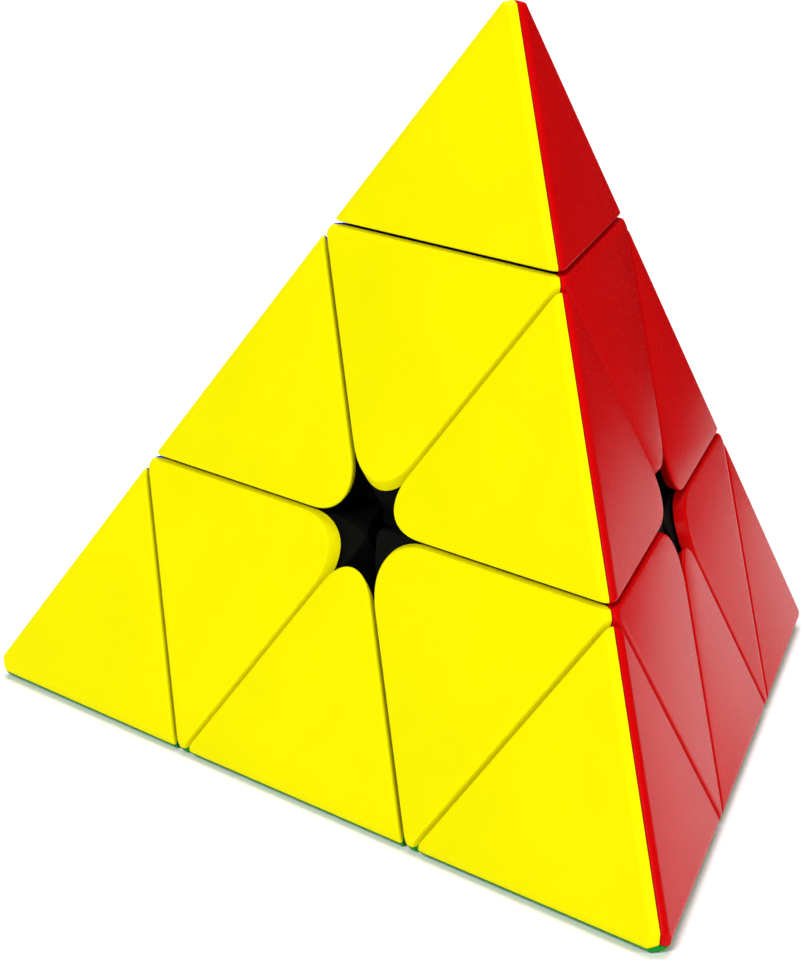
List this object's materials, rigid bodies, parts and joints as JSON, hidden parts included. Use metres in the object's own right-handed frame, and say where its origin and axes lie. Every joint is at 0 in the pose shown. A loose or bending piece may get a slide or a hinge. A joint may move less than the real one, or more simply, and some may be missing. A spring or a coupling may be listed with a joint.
{
  "type": "pyramid twisty puzzle",
  "caption": "Tetrahedral twisty puzzle in four face colours: corner layers and small tips turn about axes through a ball core.",
  "frame": {"origin": "centre of the core ball, where the four turning axes cross", "axes": "+Z out through the top tip, -Y towards the yellow face, whose lower ridge runs along X"},
  "size_m": [0.099, 0.0862, 0.0814],
  "materials": {
    "yellow": "fine matte moulded ABS",
    "red": "fine matte moulded ABS",
    "blue": "fine matte moulded ABS",
    "green": "fine matte moulded ABS",
    "black": "black moulded plastic",
    "steel": "bright zinc-plated steel"
  },
  "bodies": {
    "core": {"core": "black", "screw_top": "steel", "screw_left": "steel", "screw_right": "steel", "screw_back": "steel", "spring_top": "steel", "spring_left": "steel", "spring_right": "steel", "spring_back": "steel"},
    "corner_top": {"corner_top_base": "black", "corner_top_yellow": "yellow", "corner_top_red": "red", "corner_top_blue": "blue"},
    "corner_left": {"corner_left_base": "black", "corner_left_yellow": "yellow", "corner_left_blue": "blue", "corner_left_green": "green"},
    "corner_right": {"corner_right_base": "black", "corner_right_yellow": "yellow", "corner_right_red": "red", "corner_right_green": "green"},
    "corner_back": {"corner_back_base": "black", "corner_back_red": "red", "corner_back_blue": "blue", "corner_back_green": "green"},
    "tip_top": {"tip_top_hub": "black", "tip_top_yellow": "yellow", "tip_top_red": "red", "tip_top_blue": "blue"},
    "tip_left": {"tip_left_hub": "black", "tip_left_yellow": "yellow", "tip_left_blue": "blue", "tip_left_green": "green"},
    "tip_right": {"tip_right_hub": "black", "tip_right_yellow": "yellow", "tip_right_red": "red", "tip_right_green": "green"},
    "tip_back": {"tip_back_hub": "black", "tip_back_red": "red", "tip_back_blue": "blue", "tip_back_green": "green"},
    "edge_top_left": {"edge_top_left_foot": "black", "edge_top_left_yellow": "yellow", "edge_top_left_blue": "blue"},
    "edge_top_right": {"edge_top_right_foot": "black", "edge_top_right_yellow": "yellow", "edge_top_right_red": "red"},
    "edge_top_back": {"edge_top_back_foot": "black", "edge_top_back_red": "red", "edge_top_back_blue": "blue"},
    "edge_left_right": {"edge_left_right_foot": "black", "edge_left_right_yellow": "yellow", "edge_left_right_green": "green"},
    "edge_right_back": {"edge_right_back_foot": "black", "edge_right_back_red": "red", "edge_right_back_green": "green"},
    "edge_back_left": {"edge_back_left_foot": "black", "edge_back_left_blue": "blue", "edge_back_left_green": "green"}
  },
  "joints": [
    {"name": "turn_top_layer", "type": "hinge", "parent": "core", "child": "corner_top", "pos_m": [0, 0, 0], "axis": [0, 0, 1], "range_deg": [-240, 120]},
    {"name": "turn_left_layer", "type": "hinge", "parent": "core", "child": "corner_left", "pos_m": [0, 0, 0], "axis": [-0.8165, -0.4714, -0.3333], "range_deg": [-240, 120]},
    {"name": "turn_right_layer", "type": "hinge", "parent": "core", "child": "corner_right", "pos_m": [0, 0, 0], "axis": [0.8165, -0.4714, -0.3333], "range_deg": [-240, 120]},
    {"name": "turn_back_layer", "type": "hinge", "parent": "core", "child": "corner_back", "pos_m": [0, 0, 0], "axis": [0, 0.9428, -0.3333], "range_deg": [-240, 120]},
    {"name": "spin_top_tip", "type": "hinge", "parent": "corner_top", "child": "tip_top", "pos_m": [0, 0, 0], "axis": [0, 0, 1], "continuous": true},
    {"name": "spin_left_tip", "type": "hinge", "parent": "corner_left", "child": "tip_left", "pos_m": [0, 0, 0], "axis": [-0.8165, -0.4714, -0.3333], "continuous": true},
    {"name": "spin_right_tip", "type": "hinge", "parent": "corner_right", "child": "tip_right", "pos_m": [0, 0, 0], "axis": [0.8165, -0.4714, -0.3333], "continuous": true},
    {"name": "spin_back_tip", "type": "hinge", "parent": "corner_back", "child": "tip_back", "pos_m": [0, 0, 0], "axis": [0, 0.9428, -0.3333], "continuous": true},
    {"name": "edge_top_left_follow", "type": "hinge", "parent": "corner_top", "child": "edge_top_left", "pos_m": [0, 0, 0], "axis": [-0.8165, -0.4714, -0.3333], "range_deg": [-240, 120]},
    {"name": "edge_top_right_follow", "type": "hinge", "parent": "corner_top", "child": "edge_top_right", "pos_m": [0, 0, 0], "axis": [0.8165, -0.4714, -0.3333], "range_deg": [-240, 120]},
    {"name": "edge_top_back_follow", "type": "hinge", "parent": "corner_top", "child": "edge_top_back", "pos_m": [0, 0, 0], "axis": [0, 0.9428, -0.3333], "range_deg": [-240, 120]},
    {"name": "edge_left_right_follow", "type": "hinge", "parent": "corner_left", "child": "edge_left_right", "pos_m": [0, 0, 0], "axis": [0.8165, -0.4714, -0.3333], "range_deg": [-240, 120]},
    {"name": "edge_right_back_follow", "type": "hinge", "parent": "corner_right", "child": "edge_right_back", "pos_m": [0, 0, 0], "axis": [0, 0.9428, -0.3333], "range_deg": [-240, 120]},
    {"name": "edge_back_left_follow", "type": "hinge", "parent": "corner_back", "child": "edge_back_left", "pos_m": [0, 0, 0], "axis": [-0.8165, -0.4714, -0.3333], "range_deg": [-240, 120]}
  ],
  "couplings": [
    {"joint": "edge_top_left_follow", "follows": "turn_left_layer", "ratio": 1},
    {"joint": "edge_top_right_follow", "follows": "turn_right_layer", "ratio": 1},
    {"joint": "edge_top_back_follow", "follows": "turn_back_layer", "ratio": 1},
    {"joint": "edge_left_right_follow", "follows": "turn_right_layer", "ratio": 1},
    {"joint": "edge_right_back_follow", "follows": "turn_back_layer", "ratio": 1},
    {"joint": "edge_back_left_follow", "follows": "turn_left_layer", "ratio": 1}
  ]
}
